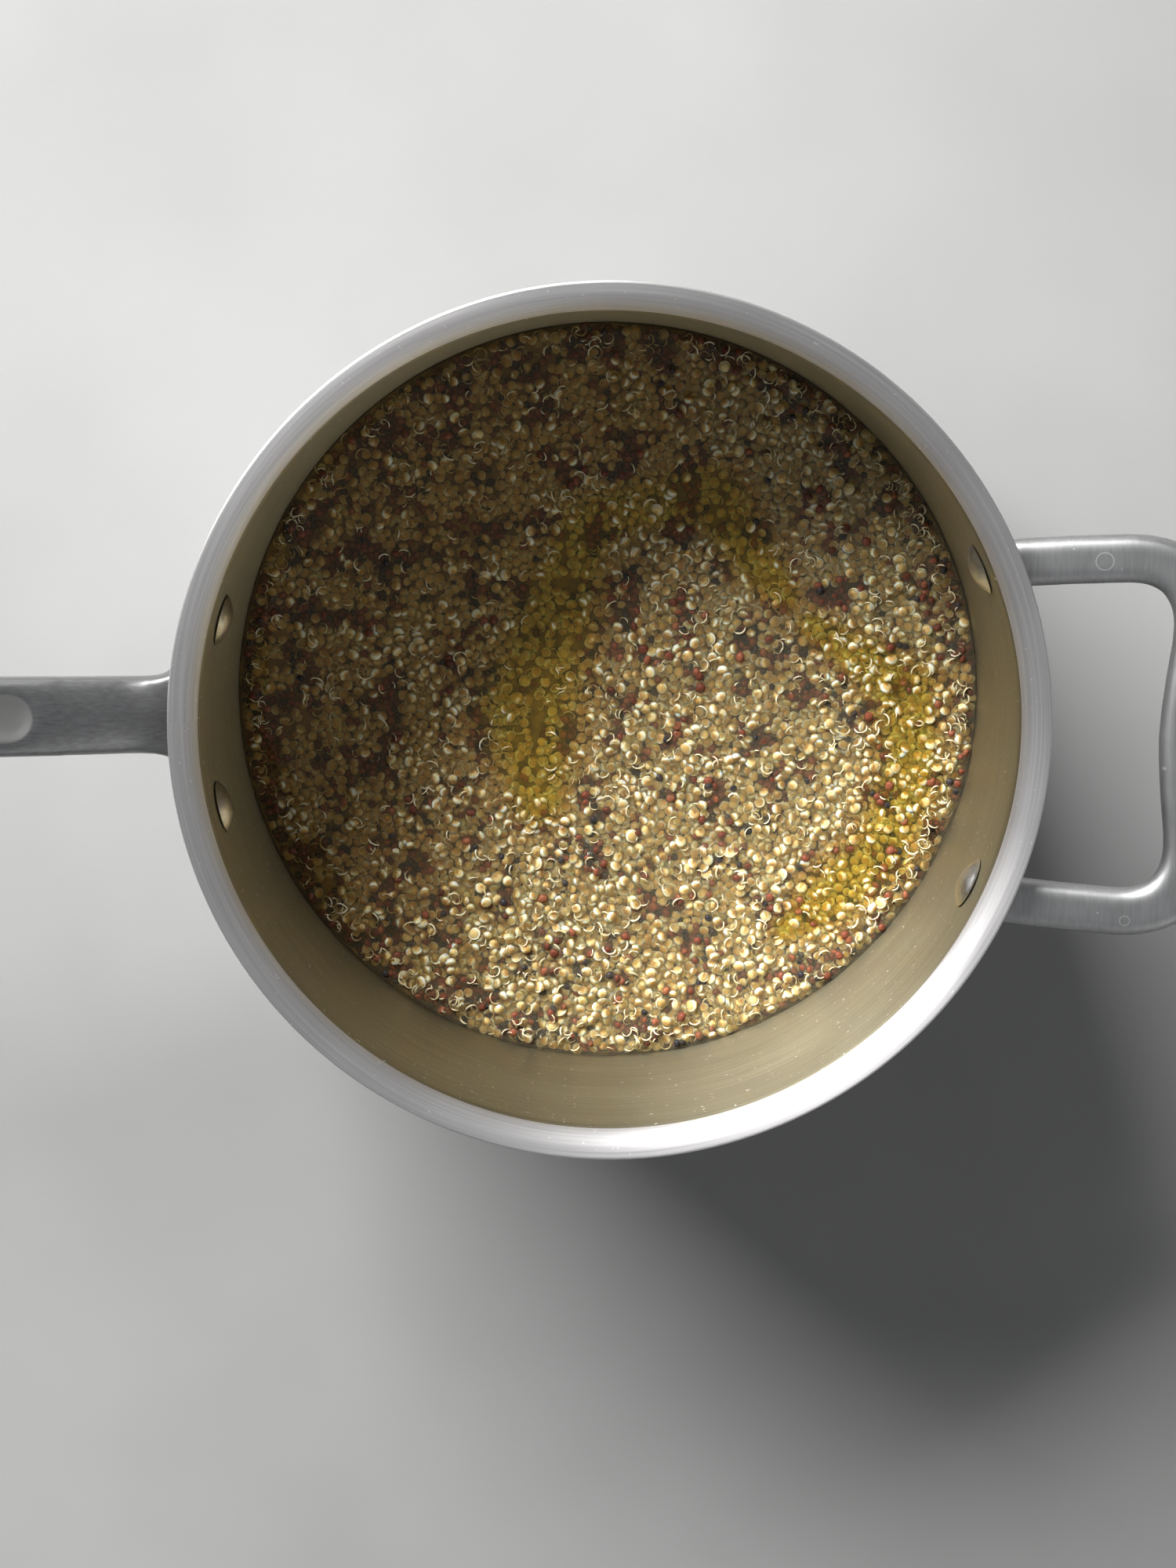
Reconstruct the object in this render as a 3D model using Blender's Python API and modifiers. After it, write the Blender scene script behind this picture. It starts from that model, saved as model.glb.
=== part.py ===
"""A steel saucepan filled with simmered three-colour quinoa, standing in its yellow broth.

The pan stands on z = 0 with its axis on Z. The long handle points along -X and the
loop handle along +X. All lengths are in metres.
"""

import math
import random

import bmesh
import bpy
from mathutils import Vector, noise
from mathutils.geometry import interpolate_bezier

# The pan
INNER_RADIUS = 0.100
WALL = 0.0025
HEIGHT = 0.110
BASE = 0.005
FLARE = 0.0073
INNER_CORNER = 0.015
OUTER_CORNER = 0.016
LIP_ROUNDING = 0.0006
SIDES = 48
GAP = 0.0003
CUT_BEYOND = 0.010

# What fills it
FILL_LEVEL = 0.0338
GRAIN_GRID = 0.00315
BUMP_HEIGHT = 0.0014
BED_DROP = 0.0002
BED_SWELL = 0.0007
GRAIN_LENGTH = 0.0038
GRAIN_WIDTH = 0.0034
GRAIN_THICKNESS = 0.0026
LOOSE_GRAINS = 28
POOL_DEPTH = 0.0026
POOL_EDGE_DEPTH = 0.0008

# The rivets, as degrees to each side of the handle that they hold
RIVET_HEIGHT = 0.0895
LONG_HANDLE_RIVET_ANGLE = 13.6
LOOP_HANDLE_RIVET_ANGLE = 23.4
SHANK_RADIUS = 0.0025
HEAD_RADIUS = 0.0065
HEAD_HEIGHT = 0.0026
TAIL_RADIUS = 0.0043
TAIL_HEIGHT = 0.0015
HEAD_SEAT = 0.0005

# The handles, cast and then brushed
FOOT_THICKNESS = 0.0035
BAR_THICKNESS = 0.008
BAR_ROUNDING = 0.0026
BAR_IN_FOOT = 0.0015
LONG_HANDLE_ROOT_HEIGHT = 0.0925
LONG_HANDLE_AIMS = ((0.140, 0.1055), (0.225, 0.1255))
LONG_HANDLE_END = 0.300
LONG_HANDLE_END_HEIGHT = 0.134
LONG_HANDLE_ROOT_FILLET = 0.006
LONG_HANDLE_WIDTH = 0.0188
LONG_HANDLE_END_WIDTH = 0.0215
LONG_FOOT_SIZE = (0.066, 0.024)
SCOOP_START = 0.1399
SCOOP_END = 0.268
SCOOP_WIDTH = 0.0128
SCOOP_DEPTH = 0.0026
LOOP_ARM_WIDTH = 0.0118
LOOP_BAR_WIDTH = 0.0150
LOOP_ROOT_HEIGHT = 0.0985
LOOP_SLOPE = math.radians(8)
LOOP_FOOT_SIZE = (0.023, 0.026)
LOOP_FOOT_DROP = 0.0057

OUTER_RADIUS = INNER_RADIUS + WALL
RIM_RADIUS = INNER_RADIUS + FLARE
FOOT_INNER = OUTER_RADIUS + GAP
FOOT_OUTER = FOOT_INNER + FOOT_THICKNESS

UP = Vector((0, 0, 1))
ACROSS = Vector((0, 1, 0))


# Scene and materials


def clear_scene():
    for obj in list(bpy.data.objects):
        bpy.data.objects.remove(obj, do_unlink=True)


def new_collection(name):
    collection = bpy.data.collections.new(name)
    bpy.context.scene.collection.children.link(collection)
    return collection


def new_material(name, colour, roughness, metallic=0.0, transmission=0.0):
    material = bpy.data.materials.new(name)
    material.use_nodes = True
    shader = material.node_tree.nodes["Principled BSDF"]
    shader.inputs["Base Color"].default_value = (*colour, 1)
    shader.inputs["Roughness"].default_value = roughness
    shader.inputs["Metallic"].default_value = metallic
    shader.inputs["Transmission Weight"].default_value = transmission
    material.diffuse_color = (*colour, 1)
    return material


def new_object(name, mesh, collection, material=None):
    obj = bpy.data.objects.new(name, mesh)
    collection.objects.link(obj)
    if material:
        mesh.materials.append(material)
    else:
        obj.hide_render = True
        obj.display_type = "WIRE"
    return obj


def mesh_from(bm, name):
    mesh = bpy.data.meshes.new(name)
    bm.to_mesh(mesh)
    bm.free()
    return mesh


# Shapes that several parts share


def arc(centre, radius, start, end, steps):
    """Points of an arc in a turned profile, angles in degrees from +r towards +z."""
    angles = [math.radians(start + (end - start) * i / steps) for i in range(steps + 1)]
    return [(centre[0] + radius * math.cos(a), centre[1] + radius * math.sin(a)) for a in angles]


def turned(name, profile, collection, sides, material=None):
    """A profile of (r, z) points swept once round the Z axis."""
    bm = bmesh.new()
    points = [bm.verts.new((r, 0, z)) for r, z in profile]
    for first, second in zip(points, points[1:]):
        bm.edges.new((first, second))
    obj = new_object(name, mesh_from(bm, name), collection, material)
    screw = obj.modifiers.new("Turn", "SCREW")
    screw.steps = screw.render_steps = sides
    screw.use_merge_vertices = True
    screw.merge_threshold = 0.0001
    screw.use_smooth_shade = False
    return obj


def loft(name, rings, collection, material=None):
    """A closed solid through rings of points, with a flat cap on its first and last ring."""
    bm = bmesh.new()
    loops = [[bm.verts.new(point) for point in ring] for ring in rings]
    for first, second in zip(loops, loops[1:]):
        for i in range(len(first)):
            j = (i + 1) % len(first)
            bm.faces.new((first[i], first[j], second[j], second[i]))
    bmesh.ops.triangulate(bm, faces=bm.faces, quad_method="FIXED")
    bm.faces.new(loops[0])
    bm.faces.new(loops[-1])
    bmesh.ops.recalc_face_normals(bm, faces=bm.faces)
    return new_object(name, mesh_from(bm, name), collection, material)


def placed(centre, side, up, flat_points):
    return [centre + side * u + up * v for u, v in flat_points]


def bar_section(centre, side, up, half_width, half_thickness=BAR_THICKNESS / 2):
    """A bar's section: a rectangle with rounded corners."""
    rounding = min(BAR_ROUNDING, half_width * 0.8, half_thickness * 0.8)
    outline = []
    for corner, (u, v) in enumerate(((1, 1), (-1, 1), (-1, -1), (1, -1))):
        middle = (u * (half_width - rounding), v * (half_thickness - rounding))
        outline += arc(middle, rounding, 90 * corner, 90 * corner + 90, 2)
    return placed(centre, side, up, outline)


def oval_section(centre, side, up, half_width, half_height, points=12):
    steps = [2 * math.pi * i / points for i in range(points)]
    outline = [(half_width * math.cos(a), half_height * math.sin(a)) for a in steps]
    return placed(centre, side, up, outline)


def boolean(obj, operation, other):
    """Cut or join with one object, or with each object of a collection."""
    modifier = obj.modifiers.new(operation.title(), "BOOLEAN")
    modifier.operation = operation
    if isinstance(other, bpy.types.Collection):
        modifier.operand_type = "COLLECTION"
        modifier.collection = other
    else:
        modifier.object = other
    return modifier


def smooth(obj, sharp_degrees=35):
    obj.data.shade_smooth()
    obj.data.set_sharp_from_angle(angle=math.radians(sharp_degrees))


def outward(degrees):
    """The horizontal direction at this angle from +X."""
    return Vector((math.cos(math.radians(degrees)), math.sin(math.radians(degrees)), 0))


def rivet_directions():
    """The direction of each rivet's axis, from the pan's axis outwards, by name."""
    return {
        "rivet_long_handle_1": 180 - LONG_HANDLE_RIVET_ANGLE,
        "rivet_long_handle_2": 180 + LONG_HANDLE_RIVET_ANGLE,
        "rivet_loop_handle_1": LOOP_HANDLE_RIVET_ANGLE,
        "rivet_loop_handle_2": -LOOP_HANDLE_RIVET_ANGLE,
    }


def cut_ends(axis, height):
    """Where a cutter through the wall starts and stops, clear of both faces."""
    reaches = (INNER_RADIUS - CUT_BEYOND, FOOT_OUTER + CUT_BEYOND)
    return [axis * reach + UP * height for reach in reaches]


def rivet_hole(name, degrees, collection):
    """A rod through wall and foot, wider than the rivet's shank by the gap."""
    axis = outward(degrees)
    ring = [axis.cross(UP), UP, SHANK_RADIUS + GAP, SHANK_RADIUS + GAP]
    return loft(name, [oval_section(end, *ring) for end in cut_ends(axis, RIVET_HEIGHT)], collection)


# The pan


def pan_profile():
    flare_centre = (RIM_RADIUS, HEIGHT - FLARE)
    inside = [(0, BASE)]
    inside += arc((INNER_RADIUS - INNER_CORNER, BASE + INNER_CORNER), INNER_CORNER, -90, 0, 3)
    inside += arc(flare_centre, FLARE, 180, 90, 5)[:-1]
    rim = [
        (RIM_RADIUS - LIP_ROUNDING, HEIGHT),
        (RIM_RADIUS, HEIGHT - LIP_ROUNDING),
        (RIM_RADIUS, HEIGHT - WALL),
    ]
    outside = arc(flare_centre, FLARE - WALL, 90, 180, 3)[1:]
    outside += arc((OUTER_RADIUS - OUTER_CORNER, OUTER_CORNER), OUTER_CORNER, 0, -90, 4)
    return inside + rim + outside + [(0, 0)]


def make_pan(collection, cutters, material):
    pan = turned("pan_body", pan_profile(), collection, SIDES, material)
    for name, degrees in rivet_directions().items():
        boolean(pan, "DIFFERENCE", rivet_hole("wall_hole_" + name, degrees, cutters))
    return pan


def make_rivets(collection, material):
    """Domed heads inside the pan, a shank through wall and foot, and a small tail outside."""
    seat = INNER_RADIUS - HEAD_SEAT
    tail_seat = FOOT_OUTER + GAP
    dome_radius = (HEAD_RADIUS**2 + HEAD_HEIGHT**2) / (2 * HEAD_HEIGHT)
    dome_edge = math.degrees(math.asin(HEAD_RADIUS / dome_radius))
    profile = arc((0, HEAD_HEIGHT - seat - dome_radius), dome_radius, 90, 90 - dome_edge, 3)
    profile += [(SHANK_RADIUS, -seat), (SHANK_RADIUS, -tail_seat), (TAIL_RADIUS, -tail_seat)]
    profile += [(TAIL_RADIUS * 0.8, -tail_seat - TAIL_HEIGHT * 0.8), (0, -tail_seat - TAIL_HEIGHT)]
    for name, degrees in rivet_directions().items():
        rivet = turned(name, profile, collection, 12, material)
        rivet.location = UP * RIVET_HEIGHT
        rivet.rotation_euler = UP.rotation_difference(-outward(degrees)).to_euler()


# The handles


def make_foot(name, degrees, size, height, cutters):
    """The prism that gives a foot its outline, pointing outwards from the pan's axis."""
    axis = outward(degrees)
    half_width, half_height = size[0] / 2, size[1] / 2
    radius = min(half_width, half_height)
    outline = []
    for corner, (u, v) in enumerate(((1, 1), (-1, 1), (-1, -1), (1, -1))):
        middle = (u * (half_width - radius), v * (half_height - radius))
        outline += arc(middle, radius, 90 * corner, 90 * corner + 90, 3)[:-1]
    rings = [placed(end, axis.cross(UP), UP, outline) for end in cut_ends(axis, height)]
    return loft(name, rings, cutters)


def make_foot_ring(name, low, high, collection, material=None):
    """A ring of the foot's thickness that lies against the outside of the pan."""
    inside, outside = [(FOOT_INNER, low), (FOOT_INNER, high)], [(FOOT_OUTER, high), (FOOT_OUTER, low)]
    return turned(name, inside + outside + inside[:1], collection, SIDES, material)


def long_handle_frame(x):
    """Middle of the long handle and its direction, at this distance from the pan's axis.

    It climbs steeply from its root, then levels off.
    """
    root = (FOOT_INNER + BAR_IN_FOOT, LONG_HANDLE_ROOT_HEIGHT)
    end = (LONG_HANDLE_END, LONG_HANDLE_END_HEIGHT)
    controls = [Vector((-reach, 0, height)) for reach, height in (root, *LONG_HANDLE_AIMS, end)]
    line = interpolate_bezier(*controls, 200)
    for first, second in zip(line, line[1:]):
        if -second.x >= x or second == line[-1]:
            share = (x + first.x) / (first.x - second.x)
            return first.lerp(second, share), (second - first).normalized()


def long_handle_half_width(x):
    """Half the width at this distance from the pan's axis, with the round end."""
    along = (x - FOOT_OUTER) / (LONG_HANDLE_END - FOOT_OUTER)
    half = (LONG_HANDLE_WIDTH + (LONG_HANDLE_END_WIDTH - LONG_HANDLE_WIDTH) * max(along, 0)) / 2
    root_fillet = LONG_HANDLE_ROOT_FILLET * math.exp(-max(x - FOOT_OUTER, 0) / 0.0016)
    into_end = max(0.0, x - (LONG_HANDLE_END - half)) / half
    return (half + root_fillet) * math.sqrt(1 - into_end**2)


def long_handle_stations():
    """Distances from the pan's axis: close together at the root and round the end."""
    root = [FOOT_INNER + d for d in (BAR_IN_FOOT, 0.0045, 0.0065, 0.0095, 0.016)]
    round_start = LONG_HANDLE_END - LONG_HANDLE_END_WIDTH / 2
    grip = [0.125 + (round_start - 0.125) * i / 10 for i in range(11)]
    end = [round_start + LONG_HANDLE_END_WIDTH / 2 * math.sin(math.radians(a)) for a in (25, 45, 62, 78)]
    return root + grip + end


def line_frames(points):
    """Each point with the direction of the line there."""
    frames = []
    for i, point in enumerate(points):
        before, after = points[max(i - 1, 0)], points[min(i + 1, len(points) - 1)]
        frames.append((point, (after - before).normalized()))
    return frames


def make_long_handle(collection, cutters, material):
    low, high = RIVET_HEIGHT - LONG_FOOT_SIZE[1], RIVET_HEIGHT + LONG_FOOT_SIZE[1]
    foot = make_foot_ring("long_handle", low, high, collection, material)
    boolean(foot, "INTERSECT", make_foot("long_foot_outline", 180, LONG_FOOT_SIZE, RIVET_HEIGHT, cutters))

    rings = []
    for x in long_handle_stations():
        point, aim = long_handle_frame(x)
        half = long_handle_half_width(x)
        thickness = BAR_THICKNESS / 2 * min(1, 0.5 + half / LONG_HANDLE_WIDTH)
        rings.append(bar_section(point, ACROSS, ACROSS.cross(aim), half, thickness))
    boolean(foot, "UNION", loft("long_handle_bar", rings, cutters))

    scoop = []
    radius = SCOOP_WIDTH / 2
    round_end = [radius * (1 - math.cos(math.radians(angle))) for angle in (10, 35, 60, 90)]
    middle = [SCOOP_START + (SCOOP_END - SCOOP_START) * share for share in (0.3, 0.5, 0.7)]
    for x in [SCOOP_START + d for d in round_end] + middle + [SCOOP_END - d for d in reversed(round_end)]:
        point, aim = long_handle_frame(x)
        up = ACROSS.cross(aim)
        into_round = max(0.0, radius - min(x - SCOOP_START, SCOOP_END - x)) / radius
        share = math.sqrt(1 - into_round**2)
        top = point + up * BAR_THICKNESS / 2
        scoop.append(oval_section(top, ACROSS, up, radius * share, SCOOP_DEPTH * share))
    boolean(foot, "DIFFERENCE", loft("long_handle_scoop", scoop, cutters))

    for name, degrees in rivet_directions().items():
        if "long" in name:
            boolean(foot, "DIFFERENCE", rivet_hole("foot_hole_" + name, degrees, cutters))


def loop_handle_line():
    """Middle of the loop handle in plan, from one foot round to the other, bowed in at its middle."""
    foot = outward(LOOP_HANDLE_RIVET_ANGLE) * (FOOT_INNER + BAR_IN_FOOT)
    half = [
        (foot.x, foot.y),
        (0.107, 0.0424),
        (0.120, 0.0432),
        (0.1300, 0.0433),
        (0.1375, 0.0405),
        (0.1425, 0.0345),
        (0.1441, 0.0270),
        (0.1428, 0.0140),
        (0.1418, 0.0),
    ]
    route = half + [(x, -y) for x, y in half[-2::-1]]
    points = []
    for i in range(len(route) - 1):
        ends = [Vector((*route[min(max(i + k, 0), len(route) - 1)], 0)) for k in (-1, 0, 1, 2)]
        reach = (ends[2] - ends[1]).length / 3
        aim_1 = (ends[2] - ends[0]).normalized() * reach
        aim_2 = (ends[3] - ends[1]).normalized() * reach
        points += interpolate_bezier(ends[1], ends[1] + aim_1, ends[2] - aim_2, ends[2], 3)[:-1]
    return points + [Vector((*route[-1], 0))]


def make_loop_handle(collection, cutters, material):
    middle = (RIVET_HEIGHT + LOOP_ROOT_HEIGHT + BAR_THICKNESS / 2) / 2 - LOOP_FOOT_DROP
    low, high = middle - LOOP_FOOT_SIZE[1] / 2, middle + LOOP_FOOT_SIZE[1] / 2
    loop = make_foot_ring("loop_handle", low, high, collection, material)
    feet = new_collection("loop_handle_feet")
    for name, side in (("loop_foot_outline_1", 1), ("loop_foot_outline_2", -1)):
        make_foot(name, side * LOOP_HANDLE_RIVET_ANGLE, LOOP_FOOT_SIZE, middle, feet)
    boolean(loop, "INTERSECT", joined(feet, cutters))

    rings = []
    root_x = FOOT_OUTER * math.cos(math.radians(LOOP_HANDLE_RIVET_ANGLE))
    plane_up = Vector((-math.sin(LOOP_SLOPE), 0, math.cos(LOOP_SLOPE)))
    for point, aim in line_frames(loop_handle_line()):
        point.z = LOOP_ROOT_HEIGHT + (point.x - root_x) * math.tan(LOOP_SLOPE)
        aim = Vector((aim.x, aim.y, aim.x * math.tan(LOOP_SLOPE))).normalized()
        across_bar = aim.y**2 if point.x > FOOT_OUTER + FLARE else 0
        width = LOOP_ARM_WIDTH + (LOOP_BAR_WIDTH - LOOP_ARM_WIDTH) * across_bar
        rings.append(bar_section(point, plane_up.cross(aim), plane_up, width / 2))
    boolean(loop, "UNION", loft("loop_handle_bar", rings, cutters))
    for name, degrees in rivet_directions().items():
        if "loop" in name:
            boolean(loop, "DIFFERENCE", rivet_hole("foot_hole_" + name, degrees, cutters))


def joined(collection, cutters):
    """The shapes of a collection as one cutter, which may be in several pieces."""
    bm = bmesh.new()
    for obj in list(collection.objects):
        bm.from_mesh(obj.data)
        bpy.data.objects.remove(obj)
    bpy.data.collections.remove(collection)
    return new_object("loop_feet_outline", mesh_from(bm, "loop_feet_outline"), cutters)


# The quinoa and its broth


def pool_lines():
    """Where broth stands open above the grains: plan points and half widths of each pool."""
    arch = [
        (-0.033, -0.040, 0.004),
        (-0.028, -0.028, 0.009),
        (-0.020, 0.000, 0.011),
        (-0.008, 0.025, 0.009),
        (0.008, 0.047, 0.008),
        (0.027, 0.053, 0.007),
        (0.042, 0.041, 0.006),
        (0.048, 0.030, 0.003),
    ]
    side = [
        (0.062, 0.022, 0.003),
        (0.074, 0.013, 0.007),
        (0.083, -0.004, 0.008),
        (0.083, -0.023, 0.008),
        (0.072, -0.042, 0.009),
        (0.056, -0.054, 0.008),
        (0.047, -0.062, 0.003),
    ]
    return {"broth_arch": arch, "broth_side": side}


def pool_rings(line, grow, top):
    """Sections of a pool: flat on top, shallow at its edges, widened all round by grow."""
    points = [Vector((x, y, FILL_LEVEL)) for x, y, _ in line]
    halves = [half for _, _, half in line]
    rings = []
    for i, (point, aim) in enumerate(line_frames(points)):
        if i == 0:
            point = point - aim * grow
        if i == len(line) - 1:
            point = point + aim * grow
        half = halves[i] + grow
        edge = POOL_EDGE_DEPTH + grow
        depth = POOL_DEPTH + grow
        outline = [(-half, top), (-half, -edge), (-half * 0.6, -depth)]
        outline += [(half * 0.6, -depth), (half, -edge), (half, top)]
        rings.append(placed(point, aim.cross(UP), UP, outline))
    return rings


def grain_field():
    """A block whose top has one bump for each grain, on a grid with its points moved about."""
    count = math.ceil(2.1 * INNER_RADIUS / GRAIN_GRID)
    size = count * GRAIN_GRID / 2
    draw = random.Random(7)
    bm = bmesh.new()
    bmesh.ops.create_grid(bm, x_segments=count, y_segments=count, size=size)
    valleys = []
    for vert in bm.verts:
        column, row = round((vert.co.x + size) / GRAIN_GRID), round((vert.co.y + size) / GRAIN_GRID)
        valley = (column + row) % 2
        share = draw.uniform(-0.65, -0.4) if valley else draw.uniform(0.2, 0.7)
        vert.co.z = bed_height(vert.co) + BUMP_HEIGHT * share
        if max(abs(vert.co.x), abs(vert.co.y)) < size - GRAIN_GRID / 2:
            vert.co.x += draw.uniform(-0.2, 0.2) * GRAIN_GRID
            vert.co.y += draw.uniform(-0.2, 0.2) * GRAIN_GRID
        if valley:
            valleys.append(vert)
    bmesh.ops.connect_verts(bm, verts=valleys)
    edges = [edge for edge in bm.edges if edge.is_boundary]
    skirt = bmesh.ops.extrude_edge_only(bm, edges=edges)["geom"]
    for item in skirt:
        if isinstance(item, bmesh.types.BMVert):
            item.co.z = 0
    open_edges = [item for item in skirt if isinstance(item, bmesh.types.BMEdge) and item.is_boundary]
    bmesh.ops.contextual_create(bm, geom=open_edges)
    bmesh.ops.recalc_face_normals(bm, faces=bm.faces)
    return mesh_from(bm, "quinoa")


def bed_height(place):
    """The bed's middle height: a gentle rise and fall of about half a grain."""
    return FILL_LEVEL - BED_DROP + BED_SWELL * noise.noise(Vector((place[0], place[1], 0)) * 30)


def far_from_pools(x, y, clearance):
    for line in pool_lines().values():
        for (x1, y1, half_1), (x2, y2, half_2) in zip(line, line[1:]):
            for step in range(5):
                share = step / 4
                apart = math.hypot(x1 + (x2 - x1) * share - x, y1 + (y2 - y1) * share - y)
                if apart < half_1 + (half_2 - half_1) * share + clearance:
                    return False
    return True


def make_loose_grains(collection):
    """Whole grains lying on the bed, spread evenly on a spiral and turned at random."""
    draw = random.Random(11)
    golden = math.pi * (3 - math.sqrt(5))
    for i in range(LOOSE_GRAINS):
        radius = (INNER_RADIUS - 2 * GRAIN_LENGTH) * math.sqrt((i + 0.5) / LOOSE_GRAINS)
        angle = i * golden + draw.uniform(-0.05, 0.05)
        x, y = radius * math.cos(angle), radius * math.sin(angle)
        if not far_from_pools(x, y, GRAIN_LENGTH):
            continue
        bm = bmesh.new()
        bmesh.ops.create_icosphere(bm, subdivisions=1, radius=0.5)
        grain = new_object(f"loose_grain_{i}", mesh_from(bm, "loose_grain"), collection)
        grain.location = (x, y, bed_height((x, y)) + 0.2 * GRAIN_THICKNESS)
        grain.scale = (GRAIN_LENGTH, GRAIN_WIDTH, GRAIN_THICKNESS)
        grain.rotation_euler = (draw.uniform(-0.5, 0.5), draw.uniform(-0.5, 0.5), draw.uniform(0, math.pi))


def keep_largest_body(mesh):
    """Drop the scraps that cutting leaves beside the main body."""
    bm = bmesh.new()
    bm.from_mesh(mesh)
    unseen = set(bm.verts)
    bodies = []
    while unseen:
        edge_of_search = [unseen.pop()]
        body = set(edge_of_search)
        while edge_of_search:
            for edge in edge_of_search.pop().link_edges:
                for vert in edge.verts:
                    if vert in unseen:
                        unseen.remove(vert)
                        body.add(vert)
                        edge_of_search.append(vert)
        bodies.append(body)
    bodies.sort(key=len)
    for scrap in bodies[:-1]:
        bmesh.ops.delete(bm, geom=list(scrap), context="VERTS")
    bm.to_mesh(mesh)
    bm.free()
    return len(bodies) - 1


def make_quinoa(collection, cutters, material):
    bed = new_object("quinoa", grain_field(), collection, material)
    wall = INNER_RADIUS - GAP
    plug = [(0, FILL_LEVEL + CUT_BEYOND), (wall, FILL_LEVEL + CUT_BEYOND)]
    plug += arc((INNER_RADIUS - INNER_CORNER, BASE + INNER_CORNER), INNER_CORNER - GAP, 0, -90, 3)
    plug += [(0, BASE + GAP)]
    boolean(bed, "INTERSECT", turned("quinoa_plug", plug, cutters, SIDES))
    for name, line in pool_lines().items():
        boolean(bed, "DIFFERENCE", loft(name + "_hollow", pool_rings(line, GAP, CUT_BEYOND), cutters))

    grains = new_collection("loose_grains")
    make_loose_grains(grains)
    boolean(bed, "UNION", grains)
    bpy.context.view_layer.update()
    graph = bpy.context.evaluated_depsgraph_get()
    joined_mesh = bpy.data.meshes.new_from_object(bed.evaluated_get(graph))
    bed.modifiers.clear()
    bed.data = joined_mesh
    print("scraps dropped from the quinoa:", keep_largest_body(joined_mesh))
    for grain in list(grains.objects):
        bpy.data.objects.remove(grain)
    bpy.data.collections.remove(grains)
    return bed


def make_broth(collection, material):
    for name, line in pool_lines().items():
        loft(name, pool_rings(line, 0, 0), collection, material)


def main():
    clear_scene()
    parts = new_collection("quinoa_saucepan")
    cutters = new_collection("cutters")
    brushed = new_material("Brushed stainless steel", (0.56, 0.54, 0.52), 0.32, metallic=1)
    cast = new_material("Cast stainless steel", (0.52, 0.52, 0.52), 0.28, metallic=1)
    polished = new_material("Polished rivet steel", (0.62, 0.61, 0.60), 0.15, metallic=1)
    grain = new_material("Cooked quinoa", (0.55, 0.42, 0.20), 0.45)
    liquid = new_material("Yellow broth", (0.62, 0.47, 0.08), 0.08, transmission=0.6)

    make_pan(parts, cutters, brushed)
    make_long_handle(parts, cutters, cast)
    make_loop_handle(parts, cutters, cast)
    make_rivets(parts, polished)
    make_quinoa(parts, cutters, grain)
    make_broth(parts, liquid)
    for obj in parts.objects:
        smooth(obj)


main()
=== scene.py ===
# %% [markdown]
# # A saucepan of simmered quinoa
#
# This lesson dresses a plain CAD saucepan so that it looks like the photographed one: a
# satin steel pan with two cast handles, part filled with three-colour quinoa in thin
# yellow broth. The CAD frame is loaded first and never changed. Its box is kept.

# %% Load the CAD frame
import math

import bpy
import numpy as np
from mathutils import Matrix, Vector, noise
from mathutils.geometry import interpolate_bezier


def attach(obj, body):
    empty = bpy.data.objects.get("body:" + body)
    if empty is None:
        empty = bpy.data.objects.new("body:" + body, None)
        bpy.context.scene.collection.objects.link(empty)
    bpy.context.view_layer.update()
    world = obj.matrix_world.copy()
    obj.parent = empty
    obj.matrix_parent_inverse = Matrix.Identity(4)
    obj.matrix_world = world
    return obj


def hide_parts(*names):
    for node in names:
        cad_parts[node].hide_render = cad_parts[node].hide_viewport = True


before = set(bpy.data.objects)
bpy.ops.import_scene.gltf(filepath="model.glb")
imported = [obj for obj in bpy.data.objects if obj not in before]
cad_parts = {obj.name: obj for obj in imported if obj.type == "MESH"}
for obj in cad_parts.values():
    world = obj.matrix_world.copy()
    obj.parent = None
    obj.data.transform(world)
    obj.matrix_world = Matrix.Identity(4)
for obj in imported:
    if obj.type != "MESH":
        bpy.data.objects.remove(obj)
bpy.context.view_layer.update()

MM = 0.001
print("CAD nodes:", ", ".join(sorted(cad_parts)))

# %% [markdown]
# ## The camera
#
# The photo looks almost straight down into the pan. The place and the tilt below were
# fitted to the rim circle, the smaller circle where the quinoa meets the wall, and the
# rivets: how much nearer the rim is than the quinoa shows how high the camera stood.

# %% Camera
camera = bpy.data.objects.new("camera", bpy.data.cameras.new("camera"))
bpy.context.scene.collection.objects.link(camera)
camera.location = (-5.524 * MM, 77.916 * MM, 742.354 * MM)
camera.rotation_euler = [math.radians(angle) for angle in (-8.193, 0.100, 1.029)]
camera.data.lens = 60.40
camera.data.sensor_width = 36
bpy.context.scene.camera = camera
bpy.context.scene.view_settings.view_transform = "Standard"
print("camera height in mm:", round(camera.location.z / MM))

# %% [markdown]
# ## Small helpers
#
# Operators act on whatever is selected, so each piece starts with nothing selected.
# Vertices are then picked in code by a rule about their place, just as a box selection
# would pick them by hand. Turned forms, such as the pan and its rivets, all start as
# one circle whose edge is extruded and scaled again and again.

# %% Selecting and finishing
def to_mode(mode):
    bpy.ops.object.mode_set(mode=mode)


def select(action):
    """In edit mode, SELECT or DESELECT everything."""
    bpy.ops.mesh.select_all(action=action)


def deselect():
    if bpy.context.object and bpy.context.object.mode == "EDIT":
        to_mode("OBJECT")
    bpy.ops.object.select_all(action="DESELECT")


def only(piece):
    deselect()
    piece.select_set(True)
    bpy.context.view_layer.objects.active = piece


def edit_all(piece):
    """Open a piece in edit mode with everything selected."""
    only(piece)
    to_mode("EDIT")
    select("SELECT")


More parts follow.
